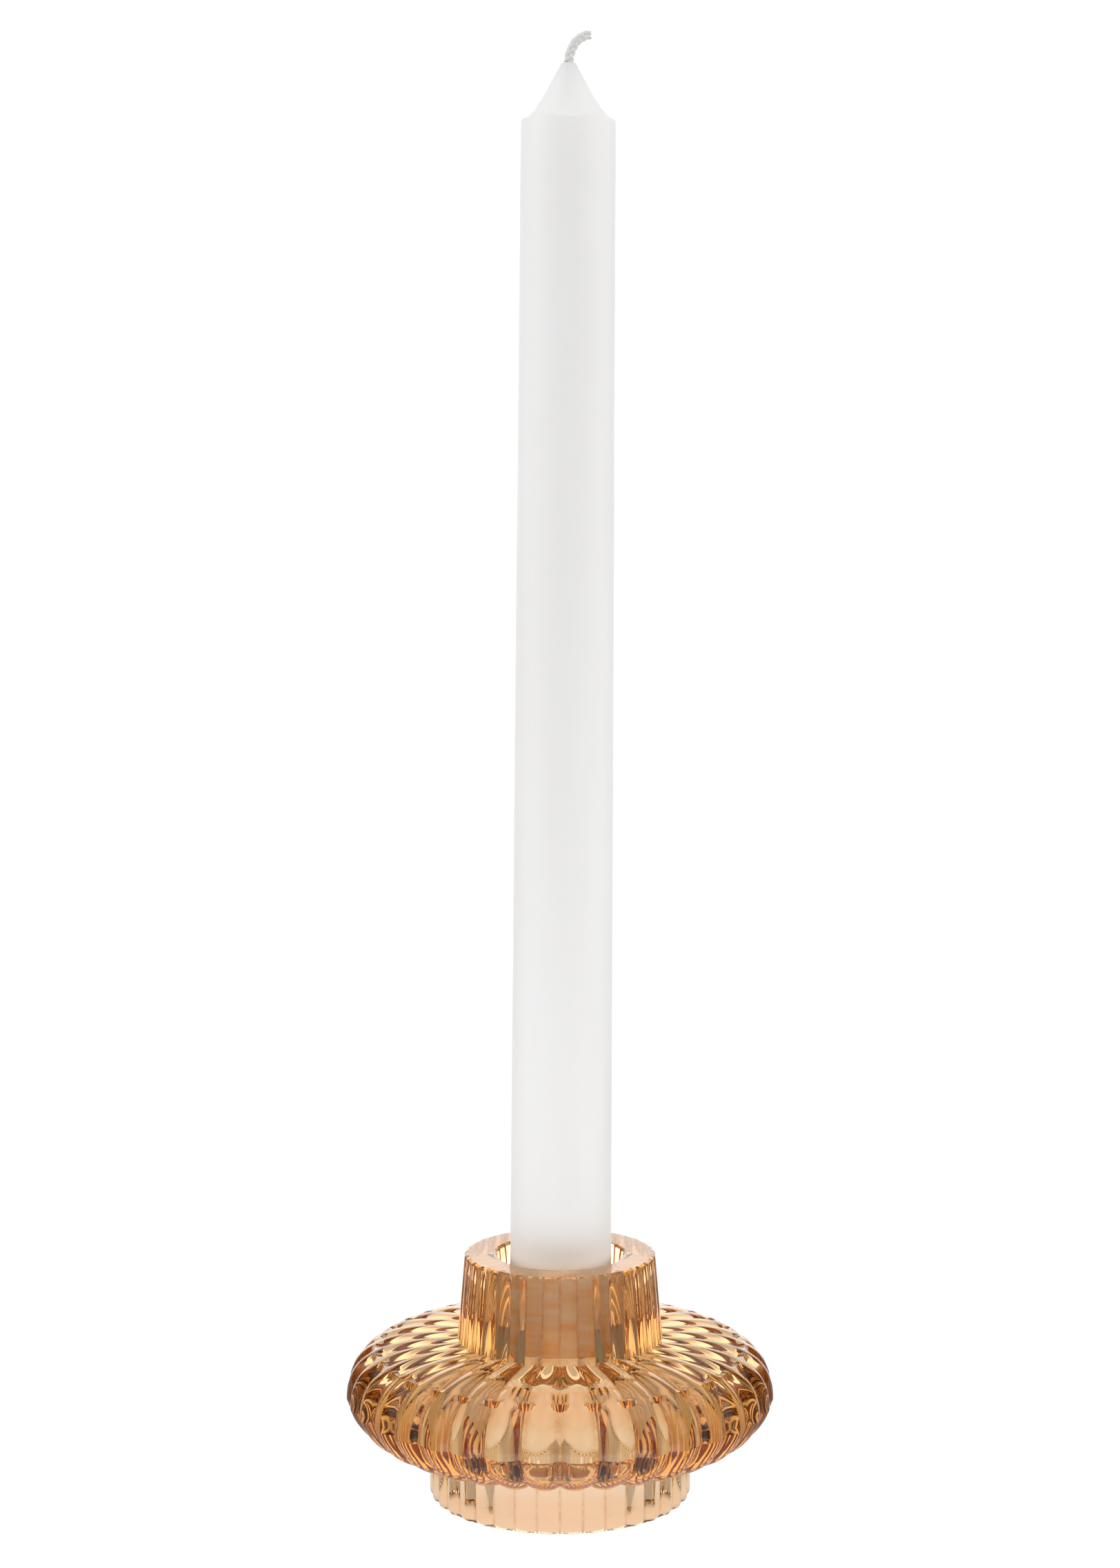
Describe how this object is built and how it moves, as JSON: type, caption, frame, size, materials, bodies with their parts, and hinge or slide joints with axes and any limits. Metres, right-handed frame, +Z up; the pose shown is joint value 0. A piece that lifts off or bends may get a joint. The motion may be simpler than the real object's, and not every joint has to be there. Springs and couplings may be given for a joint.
{
  "type": "glass candlestick",
  "caption": "Low saucer-shaped candlestick of ribbed amber pressed glass, with a tall white dinner candle in its socket and a tea-light well in its underside.",
  "frame": {"origin": "centre of the foot's resting ring, on the table", "axes": "+Z up along the axis of the holder, -Y towards the front, +X to the right, the side to which the wick's end leans"},
  "size_m": [0.0932, 0.0932, 0.3152],
  "materials": {
    "amber_glass": "clear pressed glass, fire polished",
    "white_wax": "smooth satin wax",
    "cotton_wick": "braided cotton, lightly waxed"
  },
  "bodies": {
    "holder": {"glass_holder": "amber_glass"},
    "candle": {"candle_wax": "white_wax", "wick": "cotton_wick"}
  },
  "joints": [
    {"name": "candle_lift", "type": "slide", "parent": "holder", "child": "candle", "axis": [0, 0, 1], "range_m": [0, 0.02]}
  ]
}
